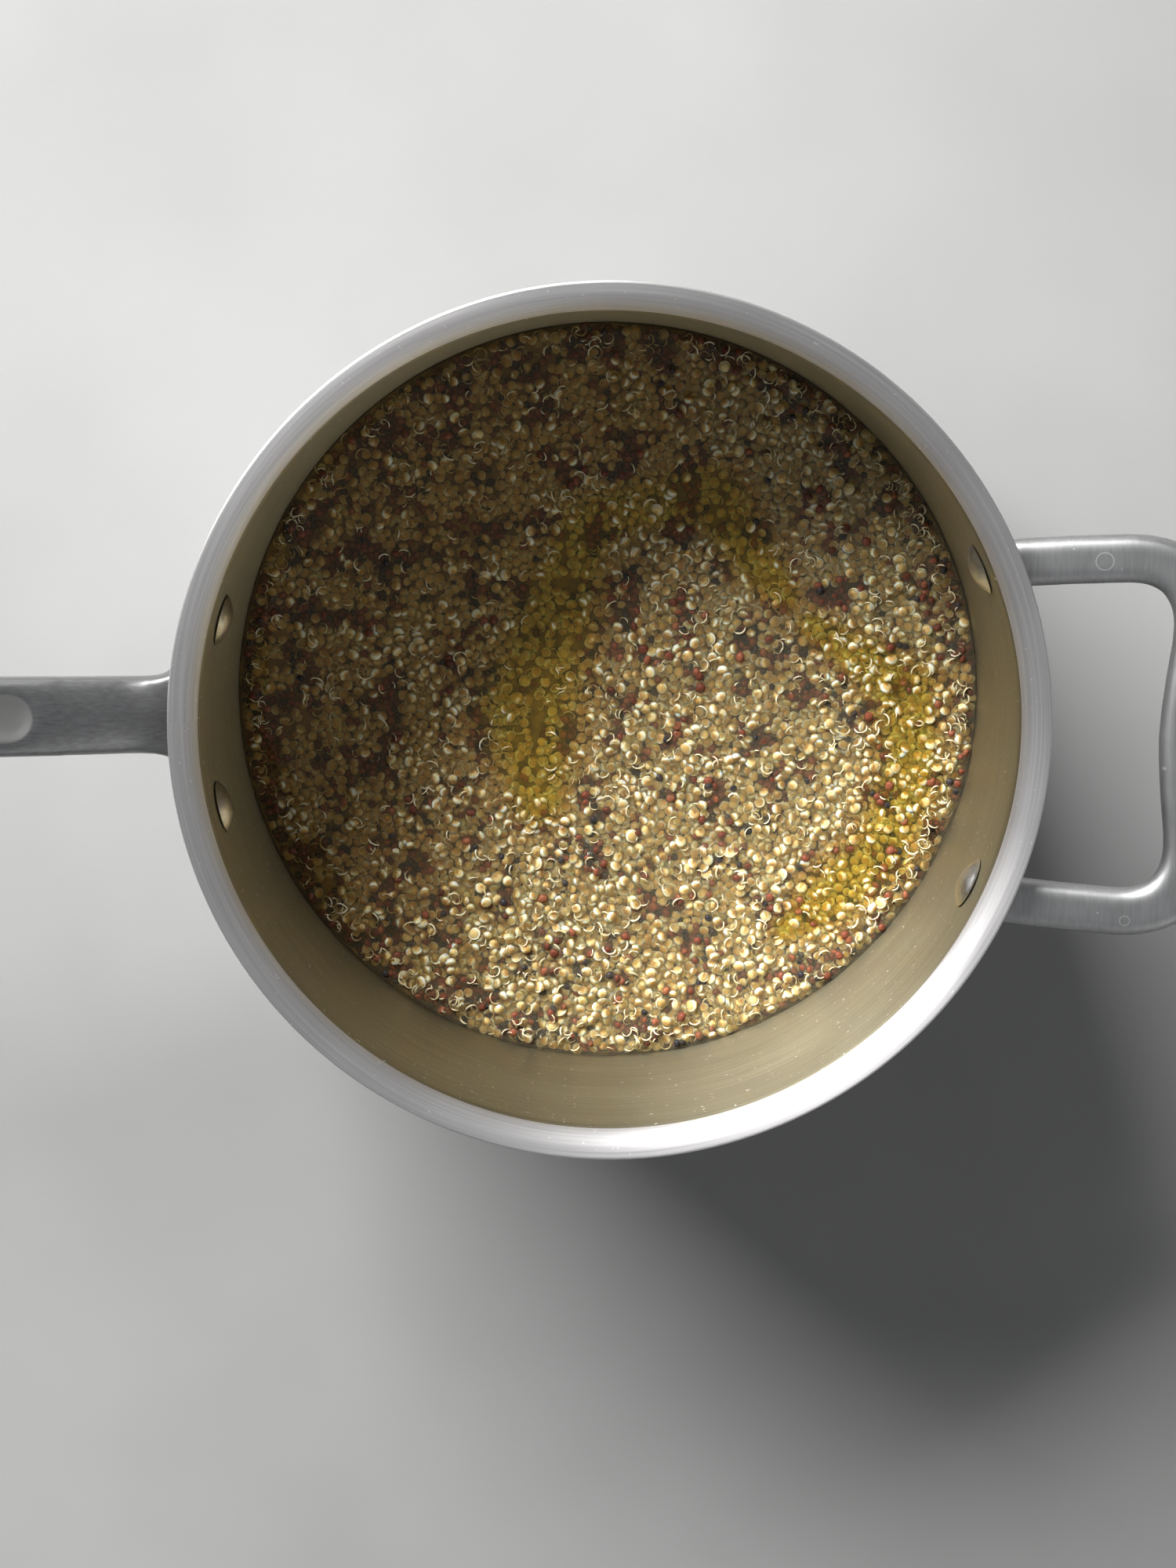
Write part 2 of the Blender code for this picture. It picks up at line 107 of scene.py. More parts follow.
def face_outwards():
    """Turn all faces of the open piece outwards, and close it."""
    select("SELECT")
    bpy.ops.mesh.normals_make_consistent(inside=False)
    to_mode("OBJECT")


def select_where(piece, rule):
    """In edit mode, select the vertices whose place fits the rule, and what lies between them."""
    only(piece)
    to_mode("EDIT")
    bpy.ops.mesh.select_mode(type="VERT")
    select("DESELECT")
    to_mode("OBJECT")
    for vertex in piece.data.vertices:
        vertex.select = bool(rule(vertex.co))
    to_mode("EDIT")


def new_primitive(name, add, **settings):
    deselect()
    add(**settings)
    piece = bpy.context.object
    piece.name = piece.data.name = name
    return piece


def use_modifier(piece, kind, **settings):
    """Add a modifier, set it up and apply it."""
    only(piece)
    bpy.ops.object.modifier_add(type=kind)
    modifier = piece.modifiers[-1]
    for setting, value in settings.items():
        setattr(modifier, setting, value)
    bpy.ops.object.modifier_apply(modifier=modifier.name)


def settle(piece):
    """Put a piece's place, turn and size into its mesh."""
    only(piece)
    bpy.ops.object.transform_apply(location=True, rotation=True, scale=True)


def dress(piece, material, slot, *nodes, smooth_angle=40):
    """Give a finished piece its material and its place in the frame."""
    settle(piece)
    piece.data.materials.clear()
    piece.data.materials.append(material)
    bpy.ops.object.shade_smooth_by_angle(angle=math.radians(smooth_angle))
    if nodes:
        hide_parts(*nodes)
    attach(piece, "root")
    piece.data.calc_loop_triangles()
    print(piece.name, "has", len(piece.data.loop_triangles), "triangles")


# %% Turned forms and rounded profiles
def arc(centre, radius, start, end, steps):
    """Points of an arc in a turned profile, angles in degrees from +r towards +z."""
    angles = [math.radians(start + (end - start) * i / steps) for i in range(steps + 1)]
    return [(centre[0] + radius * math.cos(a), centre[1] + radius * math.sin(a)) for a in angles]


def raise_rings(name, profile, sides):
    """A circle whose edge is extruded and scaled along a profile of (r, z), both ends filled."""
    radius, height = profile[0]
    piece = new_primitive(name, bpy.ops.mesh.primitive_circle_add, vertices=sides,
                          radius=radius, location=(0, 0, height), fill_type="NOTHING")
    settle(piece)
    edit_all(piece)
    bpy.ops.mesh.edge_face_add()
    bpy.ops.mesh.select_mode(type="EDGE")
    select("SELECT")
    bpy.ops.mesh.region_to_loop()
    for next_radius, next_height in profile[1:]:
        step = (0, 0, next_height - height)
        bpy.ops.mesh.extrude_edges_move(TRANSFORM_OT_translate={"value": step})
        share = next_radius / radius
        bpy.ops.transform.resize(value=(share, share, 1))
        radius, height = next_radius, next_height
    bpy.ops.mesh.edge_face_add()
    face_outwards()
    return piece


print("helpers ready")

# %% [markdown]
# ## Colours and nodes
#
# Colours are picked as sRGB hex values, as on a screen, but the renderer mixes light in
# linear values, so one function turns one into the other. A second small function adds
# a shader node with its settings, links and colour stops, which keeps each material
# short. Where it is given a whole node to link from, it takes that node's first output.

# %% Colour and node helpers
def linear(hex_colour):
    """An sRGB hex value as the linear colour that shaders use."""
    values = [int(hex_colour[i:i + 2], 16) / 255 for i in (1, 3, 5)]
    return (*[v / 12.92 if v <= 0.04045 else ((v + 0.055) / 1.055) ** 2.4 for v in values], 1)


def plug(value, socket):
    """Link a node or an output to a socket, or else set the value on the socket itself."""
    if isinstance(value, bpy.types.Node):
        value = next(output for output in value.outputs if output.enabled)
    if isinstance(value, bpy.types.NodeSocket):
        socket.id_data.links.new(value, socket)
    else:
        socket.default_value = value


def add_node(tree, kind, inputs=(), stops=(), **settings):
    """Add a node with its settings, its inputs and, on a ramp, its (position, hex) stops."""
    node = tree.nodes.new("ShaderNode" + kind)
    for name, value in settings.items():
        if hasattr(node, name):
            setattr(node, name, value)
        else:
            node.inputs[name.replace("_", " ").title()].default_value = value
    for socket, value in dict(inputs).items():
        plug(value, node.inputs[socket])
    if stops:
        bar = node.color_ramp.elements
        while len(bar) < len(stops):
            bar.new(0.5)
        for element, (position, colour) in zip(bar, stops):
            element.position, element.color = position, linear(colour)
    return node


def wire(shader, **sockets):
    """Plug nodes or values into a shader's sockets, each named with _ for a space."""
    for socket, value in sockets.items():
        plug(value, shader.inputs[socket.replace("_", " ")])


def new_material(name, **sockets):
    """A Principled material with its constant sockets set, and the Object coordinates."""
    material = bpy.data.materials.new(name)
    material.use_nodes = True
    tree = material.node_tree
    shader = tree.nodes["Principled BSDF"]
    wire(shader, **sockets)
    return material, tree, shader, add_node(tree, "TexCoord").outputs["Object"]


def in_plan(tree, place):
    """A place's three coordinates, and the same place pressed flat."""
    parts = add_node(tree, "SeparateXYZ", {0: place}).outputs
    return parts, add_node(tree, "CombineXYZ", {"X": parts["X"], "Y": parts["Y"]})


print("#808080 in linear light:", round(linear("#808080")[0], 3))

# %% [markdown]
# ## Brushed stainless steel
#
# The pan was pressed from stainless sheet and then brushed while it turned, so its fine
# scratches run round it. They are drawn as noise that is stretched round the axis: the
# noise reads the distance from the axis and the height closely, and the angle hardly at
# all. The real scratches are finer than a pixel, so they are drawn half a millimetre
# apart, and anisotropic gloss does the rest, spreading each reflection across the
# scratches. Inside, boiled starch has left a faint straw-coloured film on the steel. The
# inner steel is also painted darker and yellower than the outer, as painted shade and a
# painted reflection of the quinoa.

# %% Brushed steel for the pan
STREAK_SPACING, STREAK_DEPTH = 0.55 * MM, 0.016 * MM
STREAK_LENGTH = 1 / 2.2  # in radians round the axis


def turned_coordinates(tree, place):
    """The place as (r, z, angle), in cells as wide and as long as a streak."""
    parts, flat = in_plan(tree, place)
    angle = add_node(tree, "Math", {0: parts["Y"], 1: parts["X"]}, operation="ARCTAN2")
    radius = add_node(tree, "VectorMath", {0: flat}, operation="LENGTH")
    cells = add_node(tree, "CombineXYZ", {"X": radius, "Y": parts["Z"], "Z": angle})
    across = 1 / STREAK_SPACING
    return add_node(tree, "Mapping", {0: cells}, scale=(across, across, 1 / STREAK_LENGTH))


def brushed_pan_steel(name, dark, light, roughness, spread):
    """Sheet steel brushed round the axis, with pale 1 mm specks."""
    material, tree, shader, place = new_material(
        name, Metallic=1.0, Anisotropic=spread, Anisotropic_Rotation=0.25)
    streaks_at = turned_coordinates(tree, place)
    streaks = add_node(tree, "TexNoise", {0: streaks_at}, scale=1.0, detail=4.0)
    clouds = add_node(tree, "TexNoise", {0: place}, scale=45.0, detail=3.0)
    specks = add_node(tree, "TexNoise", {0: place}, scale=800.0, detail=2.0)
    steel = add_node(tree, "ValToRGB", {0: streaks}, ((0.25, dark), (0.75, light)))
    spots = add_node(tree, "MapRange", {0: specks}, from_min=0.69, from_max=0.75)
    wire(shader,
         Base_Color=add_node(tree, "Mix", {0: spots, 6: steel, 7: linear("#EFEDEA")}, data_type="RGBA"),
         Roughness=add_node(tree, "MapRange", {0: clouds}, to_min=roughness[0], to_max=roughness[1]),
         Normal=add_node(tree, "Bump", {"Height": streaks}, distance=STREAK_DEPTH, strength=0.5),
         Tangent=add_node(tree, "Tangent", direction_type="RADIAL", axis="Z"))
    return material


pan_steel = brushed_pan_steel("brushed_stainless_steel", "#CBC9C9", "#E6E4E3", (0.46, 0.58), 0.55)
# inner steel: a starch film, and also darker and yellower as painted shade and a painted reflection of
# the quinoa
inner_steel_film_and_painted_shade = brushed_pan_steel(
    "brushed_steel_starch_film_and_painted_shade", "#908A74", "#AEA891", (0.41, 0.50), 0.72)
print("made", pan_steel.name, "and", inner_steel_film_and_painted_shade.name)

# %% [markdown]
# ## The pan
#
# A real pan like this is drawn from one disc, its edge is flared outwards for pouring,
# and its walls stay one thickness. It could be spun from a profile; here one circle is
# extruded ring by ring, out over the base, up the wall, over the rounded lip and down
# inside, because each ring then sits exactly where the profile says. The sizes are
# those of the CAD pan, with four times as many sides. The faces of the inner wall, known
# by where they look, take the steel with the starch film and the painted shade.

# %% Pan body
INNER_RADIUS, WALL, HEIGHT, BASE = 100 * MM, 2.5 * MM, 110 * MM, 5 * MM
FLARE, INNER_CORNER, OUTER_CORNER, LIP_ROUNDING = 7.3 * MM, 15 * MM, 16 * MM, 0.6 * MM
GAP = 0.3 * MM  # between pieces that the rivets hold together
OUTER_RADIUS, RIM_RADIUS = INNER_RADIUS + WALL, INNER_RADIUS + FLARE
PAN_SIDES = 192
LOOKS_INWARDS = -0.94  # the normal of such a face along the way out from the axis

flare_centre = (RIM_RADIUS, HEIGHT - FLARE)
lip_centre = (RIM_RADIUS - LIP_ROUNDING, HEIGHT - LIP_ROUNDING)
profile = [(20 * MM, 0), (55 * MM, 0)]
profile += arc((OUTER_RADIUS - OUTER_CORNER, OUTER_CORNER), OUTER_CORNER, -90, 0, 10)
profile += arc(flare_centre, FLARE - WALL, 180, 90, 8)
profile += [(RIM_RADIUS - 0.2 * MM, HEIGHT - WALL + 0.1 * MM),
            (RIM_RADIUS, HEIGHT - WALL + 0.5 * MM)]
profile += arc(lip_centre, LIP_ROUNDING, 0, 90, 4)
profile += arc(flare_centre, FLARE, 96, 180, 12)
profile += [(INNER_RADIUS, 80 * MM), (INNER_RADIUS, 50 * MM)]
profile += arc((INNER_RADIUS - INNER_CORNER, BASE + INNER_CORNER), INNER_CORNER, 0, -90, 8)
pan = raise_rings("pan", profile, PAN_SIDES)
dress(pan, pan_steel, "brushed_pan_steel", "pan_body", smooth_angle=50)
pan.data.materials.append(inner_steel_film_and_painted_shade)
for face in pan.data.polygons:
    if face.normal.xy.dot(face.center.xy.normalized()) < LOOKS_INWARDS:
        face.material_index = 1

# %% [markdown]
# ## Cast and brushed steel
#
# Both handles were cast in stainless steel, ground smooth and brushed by hand, which
# leaves soft edges, shallow waves and short scratches along the bar. The scratches are
# noise stretched along one direction; a Mapping node squeezes it across the bar. The
# long handle's thumb dish kept the satin skin of the casting, so it is rougher, and its
# colour is painted a little lighter as painted light that the hollow catches. Boiled-over
# drops have dried on the loop, each as a pale ring or dot: both are masks made from
# distances.

# %% Cast steel for the handles
DISH_LINE, DISH_RADIUS, DISH_EDGE = (146.3 * MM, 261.6 * MM), 6.2 * MM, 0.6 * MM
DROPS = [  # the middle in plan, the ring's radius (0 for a dot) and the width of its line, in mm
    ((118.9, 42.8), 2.1, 0.22), ((135.4, -7.2), 0, 0.6), ((111.5, 45.6), 0, 0.35),
    ((123.0, 41.0), 0, 0.3), ((121.0, -43.5), 0, 0.35), ((127.5, -45.2), 1.2, 0.16)]


def in_dish(tree, place):
    """1 inside the thumb dish, which lies along the handle's line, and 0 outside it."""
    parts = add_node(tree, "SeparateXYZ", {0: place}).outputs
    past = []
    for end, limit in zip(DISH_LINE, ("MAXIMUM", "MINIMUM")):
        from_end = add_node(tree, "Math", {0: parts["X"], 1: end}, operation="ADD")
        past.append(add_node(tree, "Math", {0: from_end, 1: 0}, operation=limit))
    along = add_node(tree, "Math", {0: past[0], 1: past[1]}, operation="ADD")
    flat = add_node(tree, "CombineXYZ", {"X": along, "Y": parts["Y"]})
    apart = add_node(tree, "VectorMath", {0: flat}, operation="LENGTH")
    return add_node(tree, "MapRange", {0: apart},
                    from_min=DISH_RADIUS, from_max=DISH_RADIUS - DISH_EDGE)


def dried_drop(tree, place, centre, radius, width):
    """1 on the pale ring or dot that a dried drop leaves, 0 elsewhere."""
    flat = in_plan(tree, place)[1]
    middle = [v * MM for v in centre] + [0]
    apart = add_node(tree, "VectorMath", {0: flat, 1: middle}, operation="DISTANCE")
    from_ring = add_node(tree, "Math", {0: apart, 1: radius * MM}, operation="SUBTRACT")
    either_side = add_node(tree, "Math", {0: from_ring}, operation="ABSOLUTE")
    return add_node(tree, "MapRange", {0: either_side},
                    from_min=width * MM, from_max=width * MM * 0.3)


def cast_handle_steel(name, dark, light, roughness, stretch, dish=False, drops=()):
    """Cast steel, ground and brushed: scratches that stretch along the bar, and soft waves."""
    material, tree, shader, place = new_material(name, Metallic=1.0)
    along = add_node(tree, "Mapping", {0: place}, scale=stretch)
    scratches = add_node(tree, "TexNoise", {0: along}, scale=1.0, detail=3.0)
    waves = add_node(tree, "TexNoise", {0: place}, scale=90.0, detail=2.0)
    steel = add_node(tree, "ValToRGB", {0: scratches}, ((0.3, dark), (0.7, light)))
    rough = add_node(tree, "MapRange", {0: waves}, to_min=roughness[0], to_max=roughness[1])
    if dish:
        inside = in_dish(tree, place)
        # painted light: the dish's colour is made lighter for the light its hollow catches; its higher
        # roughness is the satin skin
        steel = add_node(tree, "Mix", {0: inside, 6: steel, 7: linear("#A3A2A0")}, data_type="RGBA")
        rough = add_node(tree, "Mix", {0: inside, 2: rough, 3: 0.48}, data_type="FLOAT")
    for drop in drops:
        mark = dried_drop(tree, place, *drop)
        steel = add_node(tree, "Mix", {0: mark, 6: steel, 7: linear("#DEDEDC")}, data_type="RGBA")
    fine = add_node(tree, "Bump", {"Height": scratches}, distance=0.003 * MM)
    soft = add_node(tree, "Bump", {"Height": waves, "Normal": fine}, distance=0.05 * MM)
    wire(shader, Base_Color=steel, Roughness=rough, Normal=soft)
    return material


long_steel = cast_handle_steel(
    "cast_steel_brushed_along", "#8B8B8B", "#9F9F9F", (0.30, 0.42), (120, 1600, 1600), dish=True)
loop_steel = cast_handle_steel(
    "cast_steel_brushed_across", "#A9A9A9", "#B7B7B7", (0.40, 0.50), (1300, 160, 1300), drops=DROPS)
print("made", long_steel.name, "and", loop_steel.name)

# %% [markdown]
# ## Casting a handle
#
# A handle is a bar that grows out of a curved foot. The bar starts as one small plane,
# whose end edge is extruded from station to station into a ribbon; Solidify gives it
# thickness and Bevel rounds its edges. The foot is a rounded plate cut out of a ring
# round the pan. Voxel remeshing melts both into one skin, and smoothing it leaves the
# soft fillets that casting leaves. Voxels lie level, so a rising bar would come out in
# tiny steps: it is levelled for the melting, and given its rise back afterwards.

# %% Ribbon, foot and casting helpers
BAR_THICKNESS, BAR_ROUNDING = 8 * MM, 3.3 * MM
FOOT_INNER, FOOT_THICKNESS = OUTER_RADIUS + GAP, 3.5 * MM
FOOT_OUTER = FOOT_INNER + FOOT_THICKNESS
BAR_IN_FOOT = 1.5 * MM
PLATE_DEPTH = 30 * MM
RIVET_HEIGHT = 89.5 * MM
VOXEL = 0.6 * MM
UP, ACROSS = Vector((0, 0, 1)), Vector((0, 1, 0))


def outward(degrees):
    return Vector((math.cos(math.radians(degrees)), math.sin(math.radians(degrees)), 0))


def move_vertex(piece, index, target):
    """Select one vertex and move it to its place."""
    select("DESELECT")
    to_mode("OBJECT")
    step = Vector(target) - piece.data.vertices[index].co
    piece.data.vertices[index].select = True
    to_mode("EDIT")
    bpy.ops.transform.translate(value=step)


def ribbon(name, stations):
    """A flat strip through stations, each a pair of points, left and right."""
    piece = new_primitive(name, bpy.ops.mesh.primitive_plane_add, size=10 * MM)
    to_mode("EDIT")
    bpy.ops.mesh.select_mode(type="VERT")
    for index, corner in enumerate((*stations[0], *stations[1])):
        move_vertex(piece, index, corner)
    last = (2, 3)
    for left, right in stations[2:]:
        select("DESELECT")
        to_mode("OBJECT")
        vertices = piece.data.vertices
        for index in last:
            vertices[index].select = True
        here = [vertices[index].co.copy() for index in last]
        to_mode("EDIT")
        step = (Vector(left) + Vector(right) - here[0] - here[1]) / 2
        bpy.ops.mesh.extrude_edges_move(TRANSFORM_OT_translate={"value": step})
        to_mode("OBJECT")
        vertices = piece.data.vertices
        last = sorted((len(vertices) - 2, len(vertices) - 1),
                      key=lambda i: (vertices[i].co - step - here[0]).length)
        to_mode("EDIT")
        move_vertex(piece, last[0], left)
        move_vertex(piece, last[1], right)
    to_mode("OBJECT")
    return piece


def bar(name, stations):
    piece = ribbon(name, stations)
    use_modifier(piece, "SOLIDIFY", thickness=BAR_THICKNESS, offset=0, use_even_offset=True)
    edit_all(piece)
    face_outwards()
    use_modifier(piece, "BEVEL", width=BAR_ROUNDING, segments=5, limit_method="ANGLE",
                 angle_limit=math.radians(50), use_clamp_overlap=True)
    return piece


def foot(name, degrees, size, height):
    """A rounded plate, cut from a ring that lies round the pan."""
    radius = min(size) / 2
    spread = [max(0, side / 2 - radius) for side in size]
    plate = new_primitive(name, bpy.ops.mesh.primitive_circle_add, vertices=40, radius=radius,
                          fill_type="NGON")
    for axis in (0, 1):
        for sign in (1, -1):
            select_where(plate, lambda co: co[axis] * sign > -1e-7)
            bpy.ops.transform.translate(value=[spread[axis] * sign * (i == axis) for i in range(3)])
    select("SELECT")
    bpy.ops.mesh.extrude_region_move(TRANSFORM_OT_translate={"value": (0, 0, PLATE_DEPTH)})
    face_outwards()
    axis_out = outward(degrees)
    sideways = axis_out.cross(UP)
    plate.matrix_world = Matrix((sideways, UP, sideways.cross(UP))).transposed().to_4x4()
    turn_sign = 1 if plate.matrix_world.col[2].xyz.dot(axis_out) > 0 else -1
    plate.location = axis_out * (FOOT_INNER - turn_sign * PLATE_DEPTH / 2) + UP * height
    settle(plate)
    low, high = height - size[1], height + size[1]
    ring = raise_rings("ring", [(FOOT_OUTER, low), (FOOT_OUTER, high)], PAN_SIDES)
    hollow = raise_rings("hollow", [(FOOT_INNER, low - MM), (FOOT_INNER, high + MM)], PAN_SIDES)
    for operation, other in (("INTERSECT", ring), ("DIFFERENCE", hollow)):
        use_modifier(plate, "BOOLEAN", operation=operation, object=other, solver="EXACT")
        bpy.data.objects.remove(other)
    return plate


def cast_together(name, parts, rounds, rise):
    """Join the parts, melt them into one skin and smooth it; rise says how high the bar lies."""
    deselect()
    for part in parts:
        part.select_set(True)
    bpy.context.view_layer.objects.active = parts[0]
    bpy.ops.object.join()
    piece = bpy.context.object
    piece.name = piece.data.name = name
    for vertex in piece.data.vertices:
        vertex.co.z -= rise(vertex.co)
    use_modifier(piece, "REMESH", mode="VOXEL", voxel_size=VOXEL)
    use_modifier(piece, "SMOOTH", factor=0.5, iterations=rounds)
    for vertex in piece.data.vertices:
        vertex.co.z += rise(vertex.co)
    return piece


print("bar thickness in mm:", BAR_THICKNESS / MM)

# %% [markdown]
# ## The long handle
#
# It leaves the rim steeply, levels off and widens a little towards its round end, with
# a long shallow dish in its upper face for the thumb. The photo cuts it off, so its far
# end is finished plainly. The dish is a stretched ball cut out with a Boolean, and the
# bar's upper face is crowned by lowering its edges, most of all near the pan.

# %% Long handle
LONG_ROOT = (FOOT_INNER + BAR_IN_FOOT, 92.5 * MM)
LONG_AIMS = ((140 * MM, 105.5 * MM), (225 * MM, 125.5 * MM))
LONG_END, LONG_END_HEIGHT = 299.8 * MM, 133.4 * MM
LONG_WIDTH, LONG_END_WIDTH = 18.8 * MM, 21.5 * MM
LONG_FOOT_SIZE = (66 * MM, 24 * MM)
SCOOP_START, SCOOP_END, SCOOP_WIDTH, SCOOP_DEPTH = 139.9 * MM, 268 * MM, 12.8 * MM, 1.5 * MM
SCOOP_RADIUS, SCOOP_LIFT = 9.0 * MM, 3.6 * MM
CROWN, CROWN_NEAR_PAN = 1.5 * MM, 2.0 * MM
long_line = interpolate_bezier(
    *[Vector((-r, 0, z)) for r, z in (LONG_ROOT, *LONG_AIMS, (LONG_END, LONG_END_HEIGHT))], 200)


def long_point(reach):
    """Middle of the bar and its direction at this distance from the pan's axis."""
    for first, second in zip(long_line, long_line[1:]):
        if -second.x >= reach or second == long_line[-1]:
            share = (reach + first.x) / (first.x - second.x)
            return first.lerp(second, share), (second - first).normalized()


def long_half_width(reach):
    """The bar widens outwards, flares where it leaves the foot and closes round at its end."""
    along = max(0, reach - FOOT_OUTER) / (LONG_END - FOOT_OUTER)
    half = (LONG_WIDTH + (LONG_END_WIDTH - LONG_WIDTH) * along) / 2
    fillet = 6 * MM * math.exp(-max(reach - FOOT_OUTER, 0) / (1.6 * MM))
    into_end = max(0, reach - (LONG_END - half)) / half
    return (half + fillet) * math.sqrt(max(0, 1 - into_end**2))


end_radius, body_start = LONG_END_WIDTH / 2, 125 * MM
round_start = LONG_END - end_radius
reaches = [FOOT_INNER + d * MM for d in (1.5, 3, 4.5, 6.5, 9.5, 13, 17)]
reaches += [body_start + (round_start - body_start) * i / 16 for i in range(17)]
reaches += [round_start + end_radius * math.sin(math.radians(a)) for a in (15, 30, 42, 53, 63, 72, 79)]
stations = []
for reach in reaches:
    middle, half = long_point(reach)[0], ACROSS * long_half_width(reach)
    stations.append((middle + half, middle - half))
long_bar = bar("long_bar", stations)

scoop_middle = (SCOOP_START + SCOOP_END) / 2
scoop = new_primitive("scoop", bpy.ops.mesh.primitive_uv_sphere_add, segments=48, ring_count=32,
                      radius=SCOOP_RADIUS)
for sign in (1, -1):
    select_where(scoop, lambda co: co.x * sign > 0.1 * MM)
    half_length = (SCOOP_END - SCOOP_START) / 2 - SCOOP_WIDTH / 2
    bpy.ops.transform.translate(value=(half_length * sign, 0, 0))
select("SELECT")
bpy.ops.transform.resize(value=(1, 1, (SCOOP_DEPTH + SCOOP_LIFT) / SCOOP_RADIUS))
bpy.ops.transform.translate(value=(0, 0, SCOOP_LIFT))
to_mode("OBJECT")
use_modifier(scoop, "SUBSURF", levels=1, render_levels=1)
for vertex in scoop.data.vertices:  # bend the ball along the bar's upper face
    middle, aim = long_point(scoop_middle - vertex.co.x)
    lift = ACROSS.cross(aim)
    lift = lift if lift.z > 0 else -lift
    vertex.co = middle + lift * (BAR_THICKNESS / 2 + vertex.co.z) + ACROSS * vertex.co.y
use_modifier(long_bar, "BOOLEAN", operation="DIFFERENCE", object=scoop, solver="EXACT")
bpy.data.objects.remove(scoop)
long_foot = foot("long_foot", 180, LONG_FOOT_SIZE, RIVET_HEIGHT)
line_out, line_up = np.array([(-point.x, point.z) for point in long_line]).T
long_handle = cast_together("long_cast_handle", [long_bar, long_foot], 30,
                            rise=lambda co: np.interp(-co.x, line_out, line_up))
for vertex in long_handle.data.vertices:  # grinding left the top and the underside crowned
    beyond = max(-vertex.co.x - FOOT_OUTER, 0)
    begun = min(beyond / (14 * MM), 1)
    near_pan = max(1 - beyond / (45 * MM), 0) ** 2
    crown = begun**2 * (3 - 2 * begun) * (CROWN + CROWN_NEAR_PAN * near_pan)
    vertex.co.z -= crown * (vertex.co.y / (LONG_WIDTH / 2)) ** 2
dress(long_handle, long_steel, "cast_handle_steel", "long_handle", smooth_angle=70)

# %% [markdown]
# ## The loop handle
#
# The helper handle is a wide loop: two arms leave the wall side by side and meet in a
# broad bar that bows in slightly at its middle, as the photo shows. Its plan line is
# smoothed through a few measured points, and the whole loop rises 8 degrees outwards.

# %% Loop handle
LOOP_ANGLE, LOOP_ROOT_HEIGHT, LOOP_SLOPE = 23.4, 98.5 * MM, math.radians(8)
LOOP_ARM_WIDTH, LOOP_BAR_WIDTH = 11.8 * MM, 15 * MM
LOOP_FOOT_SIZE, LOOP_FOOT_DROP = (23 * MM, 26 * MM), 5.7 * MM
LOOP_POINTS = ((107, 42.4), (120, 43.2), (130, 43.3), (137.5, 40.5), (142.5, 34.5),
               (144.1, 27), (142.8, 14), (141.8, 0))  # one half in plan, in mm
loop_start = outward(LOOP_ANGLE) * (FOOT_INNER + BAR_IN_FOOT)
half_route = [(loop_start.x, loop_start.y)] + [(x * MM, y * MM) for x, y in LOOP_POINTS]
route = half_route + [(x, -y) for x, y in half_route[-2::-1]]
loop_line = []
for i in range(len(route) - 1):
    near = [Vector((*route[min(max(i + k, 0), len(route) - 1)], 0)) for k in (-1, 0, 1, 2)]
    reach = (near[2] - near[1]).length / 3
    aims = [(near[2] - near[0]).normalized() * reach, (near[3] - near[1]).normalized() * reach]
    loop_line += interpolate_bezier(near[1], near[1] + aims[0], near[2] - aims[1], near[2], 4)[:-1]
loop_line.append(Vector((*route[-1], 0)))

root_x = FOOT_OUTER * math.cos(math.radians(LOOP_ANGLE))
plane_up = Vector((-math.sin(LOOP_SLOPE), 0, math.cos(LOOP_SLOPE)))
stations = []
for i, point in enumerate(loop_line):
    aim = loop_line[min(i + 1, len(loop_line) - 1)] - loop_line[max(i - 1, 0)]
    aim = Vector((aim.x, aim.y, aim.x * math.tan(LOOP_SLOPE))).normalized()
    height = LOOP_ROOT_HEIGHT + (point.x - root_x) * math.tan(LOOP_SLOPE)
    middle = Vector((point.x, point.y, height))
    across_bar = aim.y**2 if point.x > FOOT_OUTER + FLARE else 0
    half = (LOOP_ARM_WIDTH + (LOOP_BAR_WIDTH - LOOP_ARM_WIDTH) * across_bar) / 2
    side = plane_up.cross(aim) * half
    stations.append((middle + side, middle - side))
loop_bar = bar("loop_bar", stations)
loop_foot_height = (RIVET_HEIGHT + LOOP_ROOT_HEIGHT + BAR_THICKNESS / 2) / 2 - LOOP_FOOT_DROP
loop_feet = [foot(f"loop_foot_{i}", angle, LOOP_FOOT_SIZE, loop_foot_height)
             for i, angle in enumerate((LOOP_ANGLE, -LOOP_ANGLE))]
loop_handle = cast_together("loop_cast_handle", [loop_bar, *loop_feet], 16,
                            rise=lambda co: max(co.x - root_x, 0) * math.tan(LOOP_SLOPE))
dress(loop_handle, loop_steel, "cast_handle_steel", "loop_handle", smooth_angle=70)

# %% [markdown]
# ## The rivets
#
# Four steel rivets clamp the handles to the wall. Inside the pan each shows a domed
# head, which the die left smooth and use has scuffed to a soft shine, and outside a
# small flat tail. One is raised ring by ring like the pan and copied to the four places,
# each copy turned towards the pan's axis.

# %% Rivets
HEAD_RADIUS, HEAD_HEIGHT, HEAD_SEAT = 6.5 * MM, 2.6 * MM, 0.5 * MM
SHANK_RADIUS, TAIL_RADIUS, TAIL_HEIGHT, TAIL_ROUNDING = 2.5 * MM, 4.3 * MM, 1.5 * MM, 0.7 * MM
CHAMFER = 0.1 * MM
RIVETS = {"rivet_long_handle_1": 180 - 13.6, "rivet_long_handle_2": 180 + 13.6,
          "rivet_loop_handle_1": LOOP_ANGLE, "rivet_loop_handle_2": -LOOP_ANGLE}


